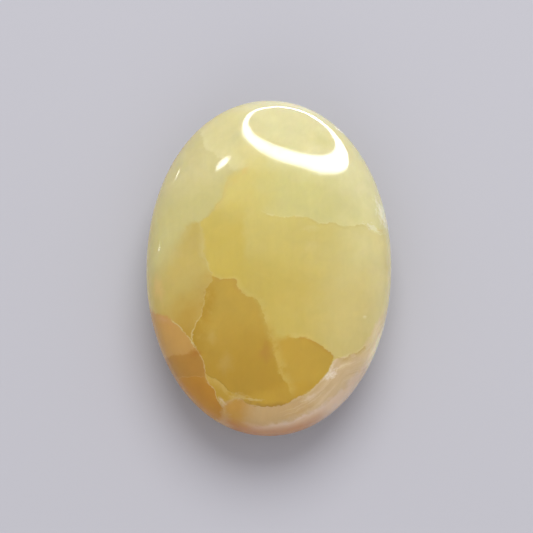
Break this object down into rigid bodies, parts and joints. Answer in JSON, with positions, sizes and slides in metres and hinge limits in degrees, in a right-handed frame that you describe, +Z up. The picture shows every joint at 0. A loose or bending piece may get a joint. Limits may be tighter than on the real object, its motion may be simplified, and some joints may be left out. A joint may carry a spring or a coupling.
{
  "type": "palm stone",
  "caption": "Smooth oval palm stone of polished yellow calcite, pillow-shaped to fill a cupped palm, lying on a small flat spot.",
  "frame": {"origin": "on the resting surface, under the middle of the stone", "axes": "+X across the stone, +Y along it, +Z up through its thickness"},
  "size_m": [0.055, 0.078, 0.026],
  "materials": {
    "polished_calcite": "polished"
  },
  "bodies": {
    "root": {"palm_stone": "polished_calcite"}
  },
  "joints": []
}
